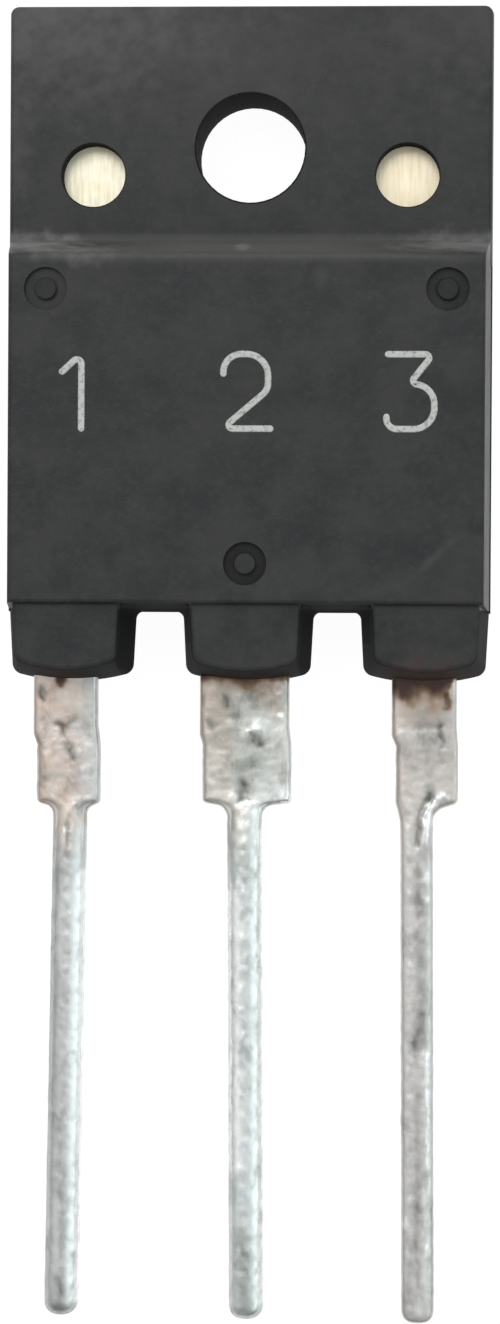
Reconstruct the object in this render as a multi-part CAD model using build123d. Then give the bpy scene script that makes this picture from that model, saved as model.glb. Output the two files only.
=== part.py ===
"""Fully moulded three-lead power transistor, in millimetres.

Frame: the origin is on the screw hole's axis at the flat back face. +Z points out of the
front face, +Y towards the mounting tab, and the leads run towards -Y, base lead on the -X
side. Every piece inside lies in a pocket of the moulding that has the piece's own shape.
"""
from build123d import *
from math import asin, cos, radians, sin, tan
import os

# --- Moulded body: overall sizes -------------------------------------------------------
body_width = 16.0            # across the parting plane
body_thickness = 5.6         # back face to front face
tab_thickness = 3.1          # back face to the tab's front
tab_reach = 4.72             # screw hole axis to the tab's end
step_foot_below_hole = 3.05  # screw hole axis to the foot of the step
step_slope = 16.4            # step face, degrees from upright
body_end_below_hole = 15.3   # screw hole axis to the edge that the legs stand on
body_draft = 5.0             # degrees, both mould halves
tab_corner_radius = 0.28
front_edge_radius = 0.12
back_edge_radius = 0.1
step_foot_radius = 0.3
parting_ledge = 0.04         # the front block's side stands in from the tab's at the parting
tab_root_depth = 0.8         # how far the tab runs into the front block
rounding_steps = 3           # flats that stand for a rounded edge

# --- Legs: the moulded sleeves that the leads leave by ---------------------------------
leg_length = 2.3             # at the middle of the leg
leg_crown = 0.3              # how much shorter the leg is at its corners
leg_pitch = 5.88             # between the legs' centres
leg_slot_width = 1.55        # between two legs at the parting plane
leg_inset = 0.05             # outer leg's wall inside the body's side
leg_front_drop = 0.3         # leg front below the body's front
leg_draft = 8.0              # degrees, front half
leg_taper = 3.0              # degrees, each side narrowing towards the end
leg_corner_radius = 0.38
leg_root_cover = 0.15        # leg's root inside the block at the front face
slot_corner_radius = 0.26
slot_corner_bite = 0.015     # how far a slot corner's arc runs into the block's wall

# --- Holes and mould marks -------------------------------------------------------------
screw_hole_diameter = 3.6
pin_hole_diameter = 2.1      # left by the pins that held the header in the mould
pin_hole_spacing = 10.36
pin_hole_below_hole = 0.89
ejector_diameter = 1.4
ejector_core_diameter = 0.65
ejector_depth = 0.2
ejector_side_inset = 1.52    # from the body's side
ejector_below_step = 1.85    # below the step's foot
ejector_above_end = 1.56     # above the body's lower edge

# --- Lead frame: base, collector and emitter leads --------------------------------------
lead_thickness = 0.6
lead_bottom = 2.5            # lead's back face, on the parting plane
lead_pitch = 5.93            # between the shoulders' centres
lead_length = 21.05          # leg end to the middle lead's tip
shoulder_length = 3.94       # below the leg
outer_shoulder_width = 1.98
middle_shoulder_width = 2.8
shoulder_corner_radius = 0.1
pin_width = 1.02
pin_root_radius = 0.28
tip_radius = 0.4
tip_bevel_length = 0.4
tip_bevel_depth = 0.14       # off the front and the back, at the very tip
edge_break = 0.08            # chamfer along the pin's and the shoulder's edges
stub_reach = 0.15            # sheared tie-bar stub on the shoulder's -X side
shear_bite = 0.05            # how far the shear cut into the +X side
stub_length = 1.75
shear_run_out = 0.15         # below the stub, where the sheared edges meet the shoulder's

base_pin_offset = 0.06       # pin's centre from its shoulder's centre, at the root
base_tip_lean = -0.22        # sideways drift of the pin from root to tip
base_tip_short = 0.05        # tip short of the middle lead's
collector_pin_offset = -0.09
collector_tip_lean = 0.15
emitter_pin_offset = -0.33
emitter_tip_lean = 0.13
emitter_tip_short = -0.06

bond_pad_width = 3.6         # inner ends of the base and emitter leads
bond_pad_length = 2.0
bond_pad_corner = 0.4
bond_pad_side_cover = 1.0    # moulding beside the pad
pad_lock_hole_diameter = 0.9
pad_above_end = 0.9          # pad's lower edge above the body's lower edge

# --- Collector header: thick copper plate joggled up to the middle lead -----------------
header_thickness = 1.5
header_bottom = 0.8          # moulding under the header, the part's insulation
header_side_cover = 1.1      # moulding beside the header
header_reach = 0.75          # header's upper edge above the screw hole's axis
header_to_pads = 0.5         # header's lower edge to the bond pads
hole_cover = 1.15            # moulding between the screw hole and the header
header_corner = 0.5
joggle_run = 0.9

# --- Die, solder and bond wires ----------------------------------------------------------
die_size = 5.4
die_thickness = 0.3
die_solder_thickness = 0.06
die_solder_margin = 0.15
die_below_step = 4.23         # die centre below the step's foot
base_wire_diameter = 0.3
emitter_wire_diameter = 0.4
wire_loop_height = 1.0       # top of the loop over the line between its feet
wire_runs = 5                # straight runs that stand for the loop
wire_foot_length = 0.9
wire_foot_spread = 1.5       # foot's width as a share of the wire's diameter
wire_foot_lift = 0.03        # underside of the round wire over the surface it is pressed on
emitter_wire_gap = 1.3       # between the two emitter wires
land_inset = 1.1             # wire feet from the die's edges

# --- Derived places ----------------------------------------------------------------------
half_width = body_width / 2
front_z = body_thickness
parting_z = lead_bottom
lead_top = lead_bottom + lead_thickness
header_top = header_bottom + header_thickness
body_end_y = -body_end_below_hole
leg_end_y = body_end_y - leg_length
stub_low_y = leg_end_y - stub_length
shear_end_y = stub_low_y - shear_run_out
shear_top_y = leg_end_y + leg_crown
leg_front_z = front_z - leg_front_drop
leg_root_depth = (front_z - parting_z) * tan(radians(body_draft)) + leg_root_cover
middle_leg_half = (leg_pitch - leg_slot_width) / 2
outer_leg_inner = (leg_pitch + leg_slot_width) / 2
outer_leg_outer = half_width - leg_inset
step_foot_y = -step_foot_below_hole
pad_low_y = body_end_y + pad_above_end
pad_high_y = pad_low_y + bond_pad_length
header_low_y = pad_high_y + header_to_pads
header_half = half_width - header_side_cover
pad_middle_x = half_width - bond_pad_side_cover - bond_pad_width / 2
pad_middle_y = (pad_low_y + pad_high_y) / 2
die_y = step_foot_y - die_below_step
die_bottom = header_top + die_solder_thickness
die_top = die_bottom + die_thickness


# --- Moulding ----------------------------------------------------------------------------
def slot_corner(wall_x, wall_y, way):
    """The arc that joins a leg's leaning side to the block's lower wall, from the leg upwards.

    It leaves the leg's side smoothly and ends just inside the block, so that it crosses the
    block's wall at a clear angle. way is the sign of X that leads into the slot.
    """
    radius = slot_corner_radius
    lean = radians(leg_taper)
    middle_y = wall_y - radius + slot_corner_bite
    middle_x = wall_x + way * ((middle_y - body_end_y) * tan(lean) + radius / cos(lean))
    turn = radians(45)
    start = (middle_x - way * radius * cos(lean), middle_y + radius * sin(lean))
    between = (middle_x - way * radius * cos(turn), middle_y + radius * sin(turn))
    return start, between, (middle_x, middle_y + radius)


def leg_plan(inner, outer, inset, slots):
    """One leg's outline, drawn in by an inset, with a crowned end and round end corners.

    slots says for the low and the high side whether a slot lies there: its side then
    flares into the block's lower wall, and a plain side runs straight into the block.
    """
    wall_y = body_end_y + inset * tan(radians(body_draft)) / tan(radians(leg_draft))
    root_y = body_end_y + leg_root_depth
    corner_y = leg_end_y + leg_crown + inset
    spread = (corner_y - body_end_y) * tan(radians(leg_taper)) - inset
    ends = [(inner - spread, corner_y), (outer + spread, corner_y)]
    edges = [ThreePointArc(ends[0], ((inner + outer) / 2, leg_end_y + inset), ends[1])]
    roots = []
    for side, (wall_x, way) in enumerate([(inner + inset, -1), (outer - inset, 1)]):
        if slots[side]:
            start, between, end = slot_corner(wall_x, wall_y, way)
            edges += [Line(ends[side], start), ThreePointArc(start, between, end)]
        else:
            end = (wall_x, body_end_y)
            edges.append(Line(ends[side], end))
        roots.append((end[0], root_y))
        edges.append(Line(end, roots[side]))
    edges.append(Line(roots[0], roots[1]))
    face = make_face(edges)
    corners = [v for v in face.vertices() if abs(v.Y - corner_y) < 1e-6]
    return fillet(corners, leg_corner_radius)


def upright_block(low_y, high_y, side_x, low_inset, high_inset, side_inset):
    """A rectangle in plan, each of its sides drawn in by its own inset."""
    width = 2 * (side_x - side_inset)
    bottom = low_y + low_inset
    top = high_y - high_inset
    return Pos(0, (bottom + top) / 2) * Rectangle(width, top - bottom)


def tab_plan(low_y, inset):
    """The tab's outline from low_y to its end, its sides and end drawn in by an inset."""
    face = upright_block(low_y, tab_reach, half_width, 0, inset, inset)
    return fillet(face.vertices().group_by(Axis.Y)[-1], tab_corner_radius)


def draft_levels(height, draft, edge_radius):
    """Height and inset pairs of a drafted wall whose last stretch rounds over its edge."""
    lean = tan(radians(draft))
    levels = [(0, 0)]
    for step in range(rounding_steps + 1):
        turn = radians(90) * step / rounding_steps
        level = height - edge_radius + edge_radius * sin(turn)
        levels.append((level, level * lean + edge_radius * (1 - cos(turn))))
    return levels


def drafted(plan, height, draft, edge_radius):
    """A solid grown from the parting plane, its walls leaning in and its far edge rounded.

    The plan is a function that gives the outline for an inset. A negative height grows
    the solid towards the back face.
    """
    way = 1 if height > 0 else -1
    sections = [Pos(0, 0, parting_z + way * level) * plan(inset)
                for level, inset in draft_levels(abs(height), draft, edge_radius)]
    return loft(sections, ruled=True)


def drafted_legs(height, draft, edge_radius):
    """The three legs, grown from the parting plane."""
    spans = [
        (-outer_leg_outer, -outer_leg_inner, (False, True)),
        (-middle_leg_half, middle_leg_half, (True, True)),
        (outer_leg_inner, outer_leg_outer, (True, False)),
    ]
    return [drafted(lambda inset: leg_plan(low, high, inset, slots), height, draft, edge_radius)
            for low, high, slots in spans]


def step_levels():
    """Level and Y of the step's face: upright below the tab, a round foot, then the slope.

    The foot's arc is tangent to the tab's front and to the slope.
    """
    slope = radians(step_slope)
    sweep_angle = radians(90) - slope
    foot_y = step_foot_y + step_foot_radius * tan(sweep_angle / 2)
    levels = [(parting_z, foot_y)]
    for step in range(rounding_steps + 1):
        turn = sweep_angle * step / rounding_steps
        levels.append((tab_thickness + step_foot_radius * (1 - cos(turn)),
                       foot_y - step_foot_radius * sin(turn)))
    for level, inset in draft_levels(front_z - parting_z, body_draft, front_edge_radius)[1:]:
        height = parting_z + level
        rounding = inset - level * tan(radians(body_draft))
        levels.append((height, step_foot_y - (height - tab_thickness) * tan(slope) - rounding))
    return levels


def front_block():
    """The thick front half of the body, from its lower wall to the step's sloping face."""
    lean = tan(radians(body_draft))
    sections = []
    for height, step_y in step_levels():
        level = height - parting_z
        over = max(0.0, height - (front_z - front_edge_radius)) / front_edge_radius
        inset = level * lean + front_edge_radius * (1 - cos(asin(min(1.0, over))))
        plan = upright_block(body_end_y, step_y, half_width - parting_ledge, inset, 0, inset)
        sections.append(Pos(0, 0, height) * plan)
    return loft(sections, ruled=True)


def moulded_form():
    """The moulding's outer form: a front half with its step, a back half, and the legs."""
    tab_root_y = step_foot_y - tab_root_depth
    form = front_block()
    form += drafted(lambda inset: tab_plan(tab_root_y, inset),
                    tab_thickness - parting_z, body_draft, front_edge_radius)
    for leg in drafted_legs(leg_front_z - parting_z, leg_draft, front_edge_radius):
        form += leg
    form += drafted(lambda inset: tab_plan(body_end_y + inset, inset),
                    -parting_z, body_draft, back_edge_radius)
    for leg in drafted_legs(-parting_z, body_draft, back_edge_radius):
        form += leg
    return form


def holes_and_marks():
    """What is cut from the front: the screw hole, the pin holes and the ejector marks."""
    cuts = [extrude(Circle(screw_hole_diameter / 2), amount=front_z)]
    for side in (-1, 1):
        place = Pos(side * pin_hole_spacing / 2, -pin_hole_below_hole, header_top)
        cuts.append(place * extrude(Circle(pin_hole_diameter / 2), amount=tab_thickness))
    marks = [
        (half_width - ejector_side_inset, step_foot_y - ejector_below_step),
        (ejector_side_inset - half_width, step_foot_y - ejector_below_step),
        (0, body_end_y + ejector_above_end),
    ]
    ring = Circle(ejector_diameter / 2) - Circle(ejector_core_diameter / 2)
    for x, y in marks:
        cuts.append(Pos(x, y, front_z - ejector_depth) * extrude(ring, amount=2 * ejector_depth))
    return cuts


def moulded_body(inserts):
    """The moulding: its form, its holes, and a pocket for each piece that it holds."""
    body = moulded_form()
    for cut in holes_and_marks():
        body -= cut
    for insert in inserts:
        body -= insert
    return body


# --- Lead frame --------------------------------------------------------------------------
def lead_plan(centre, shoulder_width, inner_y, pin_offset, tip_lean, tip_short):
    """A lead's outline: shoulder with its sheared tie bar, then a leaning pin with a round tip."""
    shoulder_y = leg_end_y - shoulder_length
    shoulder = Pos(centre, (inner_y + shoulder_y) / 2) * Rectangle(shoulder_width, inner_y - shoulder_y)
    shoulder = fillet(shoulder.vertices().group_by(Axis.Y)[0], shoulder_corner_radius)

    half = shoulder_width / 2
    stub = make_face(Polyline(
        (0, shear_top_y), (-half - stub_reach, shear_top_y), (-half - stub_reach, stub_low_y),
        (-half, shear_end_y), (0, shear_end_y), close=True))
    bite = make_face(Polyline(
        (half - shear_bite, shear_top_y), (half - shear_bite, stub_low_y), (half, shear_end_y),
        (half + shear_bite, shear_end_y), (half + shear_bite, shear_top_y), close=True))

    root_x = centre + pin_offset
    tip_x = root_x + tip_lean
    tip_y = leg_end_y - lead_length + tip_short
    half_pin = pin_width / 2
    overlap_y = shoulder_y + shoulder_corner_radius
    pin = make_face(Polyline(
        (root_x - half_pin, overlap_y), (tip_x - half_pin, tip_y),
        (tip_x + half_pin, tip_y), (root_x + half_pin, overlap_y), close=True))
    pin = fillet(pin.vertices().group_by(Axis.Y)[0], tip_radius)

    plan = shoulder + Pos(centre, 0) * stub - Pos(centre, 0) * bite + pin
    for side in (-1, 1):
        step = half - side * pin_offset - half_pin
        radius = min(pin_root_radius, (step - shoulder_corner_radius) / 2)
        root = plan.vertices().sort_by_distance((root_x + side * half_pin, shoulder_y))[0]
        plan = fillet(root, radius)
    return plan


def lead_blade(plan):
    """A lead of sheet thickness, its edges broken outside the leg and its tip bevelled."""
    blade = Pos(0, 0, lead_bottom) * extrude(plan, amount=lead_thickness)
    outline = [edge for level in (0, -1) for edge in blade.faces().sort_by(Axis.Z)[level].edges()
               if edge.center().Y < shear_top_y - 1e-3]
    blade = chamfer(outline, edge_break)
    tip_y = blade.bounding_box().min.Y
    for face_z, way in ((lead_top, -1), (lead_bottom, 1)):
        bevel = make_face(Polyline(
            (tip_y - tip_bevel_length, face_z), (tip_y + tip_bevel_length, face_z),
            (tip_y - tip_bevel_length, face_z + 2 * way * tip_bevel_depth), close=True))
        blade -= extrude(Plane.YZ * bevel, amount=body_width, both=True)
    return blade


def side_lead(side, pin_offset, tip_lean, tip_short):
    """The base or the emitter lead, with its bond pad and the hole that locks it."""
    centre = side * lead_pitch
    plan = lead_plan(centre, outer_shoulder_width, pad_low_y + bond_pad_corner,
                     pin_offset, tip_lean, tip_short)
    pad = Pos(side * pad_middle_x, pad_middle_y) * Rectangle(bond_pad_width, bond_pad_length)
    pad = fillet(pad.vertices(), bond_pad_corner)
    lock_hole = Pos(centre, (pad_low_y + body_end_y) / 2) * Circle(pad_lock_hole_diameter / 2)
    return lead_blade(plan + pad - lock_hole)


def header_plan():
    """The header's outline: a plate with an open round notch for the screw."""
    height = header_reach - header_low_y
    face = Pos(0, (header_reach + header_low_y) / 2) * Rectangle(2 * header_half, height)
    face = fillet(face.vertices(), header_corner)
    return face - Circle(screw_hole_diameter / 2 + hole_cover)


def collector_header():
    """The header plate with its joggled tongue and the middle lead, all one piece."""
    plate = Pos(0, 0, header_bottom) * extrude(header_plan(), amount=header_thickness)
    joggle_end = header_low_y - joggle_run
    tongue_top = header_top
    tongue_section = make_face(Polyline(
        (header_low_y, tongue_top), (header_low_y, tongue_top - lead_thickness),
        (joggle_end, lead_bottom), (joggle_end, lead_top), close=True))
    tongue = extrude(Plane.YZ * tongue_section, amount=middle_shoulder_width / 2, both=True)
    plan = lead_plan(0, middle_shoulder_width, joggle_end,
                     collector_pin_offset, collector_tip_lean, 0)
    return plate + tongue + lead_blade(plan)


# --- Die and wires -----------------------------------------------------------------------
def square_layer(size, bottom, thickness):
    """A flat square layer in the die's place."""
    return Pos(0, die_y, bottom) * extrude(Rectangle(size, size), amount=thickness)


def bond_wire(diameter, start, end):
    """A looped bond wire with a pressed foot on the die and one on a bond pad.

    start and end are the feet's middles in plan. The path lies in the upright plane
    through them: a foot, a half sine arch in short straight runs, and a foot.
    """
    lift = diameter / 2 + wire_foot_lift
    along = Vector(*end) - Vector(*start)
    plane = Plane(origin=start, x_dir=along, z_dir=(along.Y, -along.X, 0))
    half_foot = wire_foot_length / 2
    span = along.length - wire_foot_length
    low = die_top + lift
    high = lead_top + lift
    arch = [(half_foot + span * step / wire_runs,
             low + (high - low) * step / wire_runs + wire_loop_height * sin(radians(180) * step / wire_runs))
            for step in range(wire_runs + 1)]
    path = plane * Polyline((-half_foot, low), *arch, (along.length + half_foot, high))
    section = Plane(origin=path @ 0, z_dir=path % 0) * Circle(diameter / 2)
    wire = sweep(section, path=path, transition=Transition.RIGHT)
    foot = extrude(Rectangle(wire_foot_length, wire_foot_spread * diameter), amount=lift)
    for place, level in ((start, die_top), (end, lead_top)):
        footing = Plane(origin=(*place, level), x_dir=along, z_dir=(0, 0, 1))
        wire += footing * foot
    return wire


def emitter_wire(side):
    """One of the two emitter wires, side by side along X."""
    shift = side * emitter_wire_gap / 2
    start = (die_size / 2 - land_inset + shift, die_y - die_size / 2 + land_inset)
    end = (pad_middle_x + shift, pad_middle_y)
    return bond_wire(emitter_wire_diameter, start, end)


def base_wire():
    """The single base wire."""
    start = (land_inset - die_size / 2, die_y - die_size / 2 + land_inset)
    return bond_wire(base_wire_diameter, start, (-pad_middle_x, pad_middle_y))


# --- The nodes ---------------------------------------------------------------------------
inserts = {
    "collector_header": collector_header(),
    "base_lead": side_lead(-1, base_pin_offset, base_tip_lean, base_tip_short),
    "emitter_lead": side_lead(1, emitter_pin_offset, emitter_tip_lean, emitter_tip_short),
    "die_solder": square_layer(die_size + 2 * die_solder_margin, header_top, die_solder_thickness),
    "transistor_die": square_layer(die_size, die_bottom, die_thickness),
    "base_bond_wire": base_wire(),
    "emitter_bond_wire_inner": emitter_wire(-1),
    "emitter_bond_wire_outer": emitter_wire(1),
}
nodes = {"moulded_body": moulded_body(inserts.values()), **inserts}

os.makedirs("parts", exist_ok=True)
for name, shape in nodes.items():
    solids = shape.solids()
    export_step(solids[0] if len(solids) == 1 else Compound(solids), f"parts/{name}.step")
    print(f"{name}: {len(solids)} solid, {shape.volume:.3f} cubic mm")
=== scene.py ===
"""Looks of a fully moulded three-lead power transistor that has been on a board before.

Everything is in the part's own frame: the origin is on the screw hole's axis at the flat back
face, +Z points out of the front face, +Y towards the mounting tab, and the leads run towards
-Y. The classes hold their sizes in millimetres and turn them to metres where a mesh is made.
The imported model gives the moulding, the lead frame, the die and the wires. This script gives
them their finishes and adds the solder coats on the leads and the printed pin numbers.
"""
from __future__ import annotations

import logging
import math
from collections.abc import Sequence
from dataclasses import dataclass
from enum import Enum

import bpy
import numpy as np
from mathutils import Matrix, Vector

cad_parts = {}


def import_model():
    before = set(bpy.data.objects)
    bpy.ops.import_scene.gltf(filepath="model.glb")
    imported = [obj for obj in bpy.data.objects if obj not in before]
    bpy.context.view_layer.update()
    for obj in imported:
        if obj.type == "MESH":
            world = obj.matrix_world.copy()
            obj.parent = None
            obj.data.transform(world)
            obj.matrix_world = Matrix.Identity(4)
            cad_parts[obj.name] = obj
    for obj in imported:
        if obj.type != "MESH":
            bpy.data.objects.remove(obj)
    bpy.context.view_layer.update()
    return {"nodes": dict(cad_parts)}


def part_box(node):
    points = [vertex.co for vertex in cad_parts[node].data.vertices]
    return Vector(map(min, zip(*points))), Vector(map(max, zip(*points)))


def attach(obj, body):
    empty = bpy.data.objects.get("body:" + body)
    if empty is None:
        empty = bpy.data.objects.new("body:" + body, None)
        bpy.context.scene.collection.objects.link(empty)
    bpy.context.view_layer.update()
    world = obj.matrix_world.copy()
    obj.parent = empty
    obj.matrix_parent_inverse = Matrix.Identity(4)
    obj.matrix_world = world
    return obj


MM = 1e-3
log = logging.getLogger("power_transistor")


# --- Small tools ---------------------------------------------------------------------------
def linear(code: str) -> tuple[float, float, float, float]:
    """Turns an sRGB colour into linear light.

    Args:
        code: Colour as "#rrggbb".

    Returns:
        Linear red, green and blue, and an alpha of 1.
    """
    srgb = np.array([int(code[i:i + 2], 16) for i in (1, 3, 5)]) / 255
    light = np.where(srgb <= 0.04045, srgb / 12.92, ((srgb + 0.055) / 1.055) ** 2.4)
    return (*light.tolist(), 1.0)


def per_metre(size: float) -> float:
    """Texture scale that gives a pattern of this size, in mm, on Object coordinates."""
    return 1 / (size * MM)


def smooth(value: np.ndarray, low: float, high: float) -> np.ndarray:
    """Smooth step: 3t^2 - 2t^3 with t = (value - low) / (high - low), held between 0 and 1."""
    t = np.clip((value - low) / (high - low), 0, 1)
    return t * t * (3 - 2 * t)


def ripple(points: np.ndarray, size: tuple[float, float], seed: int, waves: int = 28) -> np.ndarray:
    """A smooth random field between about -1 and 1.

    The field is the sum of sin(k.p + phase) over plane waves with random headings, with
    lengths spread between the two sizes, divided by the root of half their number.

    Args:
        points: Places in mm, shape (..., 2).
        size: Shortest and longest wave in mm.
        seed: Seed of the headings and phases.
        waves: Number of plane waves.

    Returns:
        The field's values, shape (...).
    """
    rng = np.random.default_rng(seed)
    length = np.exp(rng.uniform(np.log(size[0]), np.log(size[1]), waves))
    heading = rng.uniform(0, 2 * np.pi, waves)
    k = 2 * np.pi / length * np.stack([np.cos(heading), np.sin(heading)])
    phase = rng.uniform(0, 2 * np.pi, waves)
    return np.sin(points @ k + phase).sum(-1) / math.sqrt(waves / 2) / 2


def distance_to(points: np.ndarray, path: np.ndarray) -> np.ndarray:
    """Distance from points to an open polyline.

    For each run from a to b the nearest place is a + t (b - a) with
    t = (p - a).(b - a) / |b - a|^2 held between 0 and 1, and the least distance counts.

    Args:
        points: Places, shape (..., 2).
        path: Polyline, shape (n, 2).

    Returns:
        Distances, shape (...).
    """
    start, run = path[:-1], np.diff(path, axis=0)
    away = points[..., None, :] - start
    t = np.clip((away * run).sum(-1) / np.maximum((run * run).sum(-1), 1e-12), 0, 1)
    return np.sqrt(((away - t[..., None] * run) ** 2).sum(-1)).min(-1)


def rounded_path(corners: np.ndarray, radii: list[float], run_steps: Sequence[int],
                 arc_steps: int) -> np.ndarray:
    """Samples an open polyline whose corners are rounded by tangent arcs.

    A corner that turns by an angle a is cut r tan(a / 2) before and after it. The arc's
    places are c + r (-n cos(b) + u sin(b)), with c its centre, u the direction in, n the
    side it turns to, and b from 0 to a.

    Args:
        corners: Polyline, shape (n, 2).
        radii: Radius at each inner corner, n - 2 values.
        run_steps: Steps along each straight run, n - 1 values.
        arc_steps: Steps along each arc.

    Returns:
        Places along the path, the ends included.
    """
    heading = np.diff(corners, axis=0)
    heading /= np.linalg.norm(heading, axis=1)[:, None]
    pieces, here = [], corners[0]
    for k, radius in enumerate(radii):
        u, v, corner = heading[k], heading[k + 1], corners[k + 1]
        turn = math.atan2(u[0] * v[1] - u[1] * v[0], float(u @ v))
        cut = radius * math.tan(abs(turn) / 2)
        into = math.copysign(1, turn) * np.array([-u[1], u[0]])
        pieces.append(np.linspace(here, corner - cut * u, run_steps[k], endpoint=False))
        b = np.linspace(0, abs(turn), arc_steps, endpoint=False)[:, None]
        pieces.append(corner - cut * u + radius * (into * (1 - np.cos(b)) + u * np.sin(b)))
        here = corner + cut * v
    pieces.append(np.linspace(here, corners[-1], run_steps[-1] + 1))
    return np.vstack(pieces)


def paired_sheets(plan: np.ndarray, front: np.ndarray, back: np.ndarray, start_point: bool,
                  end_point: bool) -> tuple[np.ndarray, list[list[int]], np.ndarray]:
    """Joins a front and a back sheet over one plan grid into a closed surface.

    Row i runs across at station i, from the -X rim to the +X rim, and the rows follow each
    other towards -Y. The sheets share both rims. An end is closed by a strip between the
    sheets, or the whole end row is one shared point.

    Args:
        plan: X and Y of the grid, shape (rows, columns, 2).
        front: Z of the front sheet, shape (rows, columns).
        back: Z of the back sheet, same shape.
        start_point: Whether the first row is one point.
        end_point: Whether the last row is one point.

    Returns:
        Vertices, faces, and for each vertex its place in the two stacked grids.
    """
    rows, columns = front.shape
    top = np.arange(rows * columns).reshape(rows, columns)
    low = top + rows * columns
    low[:, [0, -1]] = top[:, [0, -1]]
    for row, single in ((0, start_point), (-1, end_point)):
        if single:
            top[row] = top[row, 0]
            low[row] = top[row, 0]

    def cells(sheet: np.ndarray) -> np.ndarray:
        """The four vertex numbers of each cell of a grid."""
        ring = [sheet[:-1, :-1], sheet[1:, :-1], sheet[1:, 1:], sheet[:-1, 1:]]
        return np.stack(ring, -1).reshape(-1, 4)

    faces = [cells(top), cells(low)[:, ::-1]]
    if not start_point:
        faces.append(np.stack([top[0, :-1], top[0, 1:], low[0, 1:], low[0, :-1]], -1))
    if not end_point:
        faces.append(np.stack([top[-1, :-1], low[-1, :-1], low[-1, 1:], top[-1, 1:]], -1))
    faces = np.vstack(faces)
    used, renumbered = np.unique(faces, return_inverse=True)
    faces = renumbered.reshape(faces.shape)
    same = faces == np.roll(faces, -1, axis=1)
    sound = same.sum(1) < 2
    loops = [face[~double].tolist() for face, double in zip(faces[sound], same[sound])]
    both = np.concatenate([np.dstack([plan, sheet]).reshape(-1, 3) for sheet in (front, back)])
    return both[used], loops, used


def mesh_object(name: str, vertices: np.ndarray, faces: list[list[int]], material: bpy.types.Material,
                values: dict[str, np.ndarray] | None = None) -> bpy.types.Object:
    """Makes a smooth mesh object at the origin.

    Args:
        name: Name of the object and its mesh.
        vertices: Places in mm, shape (n, 3).
        faces: Vertex numbers of each face, seen anticlockwise from outside.
        material: Finish of the whole piece.
        values: Numbers for each vertex that the finish reads, by attribute name.

    Returns:
        The new object, linked to the scene.
    """
    mesh = bpy.data.meshes.new(name)
    mesh.from_pydata((vertices * MM).tolist(), [], faces)
    mesh.shade_smooth()
    for key, numbers in (values or {}).items():
        mesh.attributes.new(key, "FLOAT", "POINT").data.foreach_set("value", numbers.astype(np.float32))
    mesh.materials.append(material)
    mesh.validate()
    piece = bpy.data.objects.new(name, mesh)
    bpy.context.scene.collection.objects.link(piece)
    return piece


class Recipe:
    """A material's node tree while it is laid out."""

    def __init__(self, name: str) -> None:
        """Starts an empty material of that name."""
        self.material = bpy.data.materials.new(name)
        self.material.use_nodes = True
        self.tree = self.material.node_tree
        self.tree.nodes.clear()
        self.places = self.add("TexCoord").node.outputs["Object"]

    @classmethod
    def over(cls, tree: bpy.types.NodeTree) -> Recipe:
        """A recipe that lays out a tree that is there already, such as the world's."""
        recipe = cls.__new__(cls)
        recipe.tree = tree
        return recipe

    def add(self, kind: str, inputs: dict | tuple = (), **settings) -> bpy.types.NodeSocket | None:
        """Adds a node.

        Args:
            kind: The node's type, without the word ShaderNode.
            inputs: Input values in order, or by name or number. A socket is linked, and
                anything else is set.
            **settings: The node's own properties.

        Returns:
            The first of its outputs that is in use.
        """
        node = self.tree.nodes.new("ShaderNode" + kind)
        for key, value in settings.items():
            setattr(node, key, value)
        for key, value in inputs.items() if isinstance(inputs, dict) else enumerate(inputs):
            if isinstance(value, bpy.types.NodeSocket):
                self.tree.links.new(value, node.inputs[key])
            else:
                node.inputs[key].default_value = value
        return next((output for output in node.outputs if output.enabled), None)

    def finish(self, shader: bpy.types.NodeSocket) -> bpy.types.Material:
        """Links the shader to the output and returns the material."""
        self.add("OutputMaterial", {"Surface": shader})
        return self.material


# --- Finishes ------------------------------------------------------------------------------
class Shape(Enum):
    """How a zone is bounded."""

    BOX = "box"
    BORE = "bore"          # round about Z
    CLOUD = "cloud"        # round, with a ragged, far-reaching edge


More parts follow.
